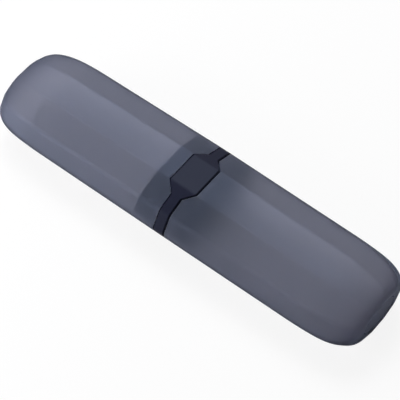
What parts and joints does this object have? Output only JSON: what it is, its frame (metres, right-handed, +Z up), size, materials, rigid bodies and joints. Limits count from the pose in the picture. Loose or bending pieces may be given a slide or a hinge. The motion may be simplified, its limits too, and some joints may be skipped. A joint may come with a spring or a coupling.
{
  "type": "electric toothbrush travel case",
  "caption": "Slim faceted travel case in two smoky half shells that meet on a dark collar; the cap half slides off to reach the trays for a brush handle and spare heads.",
  "frame": {"origin": "middle of the closed case's length and width, on the surface that it rests on", "axes": "+X along the case from the base half to the cap half, +Z up through the plate on the collar, +Y to the spare heads' side"},
  "size_m": [0.23, 0.0598, 0.0335],
  "materials": {
    "smoky_shell": "frosted, translucent grey-blue",
    "dark_collar": "satin, near-black navy",
    "seal_rubber": "matte black rubber",
    "clear_tray": "clear, lightly frosted",
    "soft_pad": "matte translucent silicone",
    "clear_post": "clear"
  },
  "bodies": {
    "base": {"base_shell": "smoky_shell", "collar": "dark_collar", "cap_seal": "seal_rubber", "base_tray": "clear_tray", "base_pads": "soft_pad", "base_bumper": "soft_pad", "base_head_post": "clear_post"},
    "cap": {"cap_shell": "smoky_shell", "cap_tray": "clear_tray", "cap_pads": "soft_pad", "cap_bumper": "soft_pad", "cap_head_post": "clear_post"}
  },
  "joints": [
    {"name": "cap_slide", "type": "slide", "parent": "base", "child": "cap", "axis": [1, 0, 0], "range_m": [0, 0.12]}
  ]
}
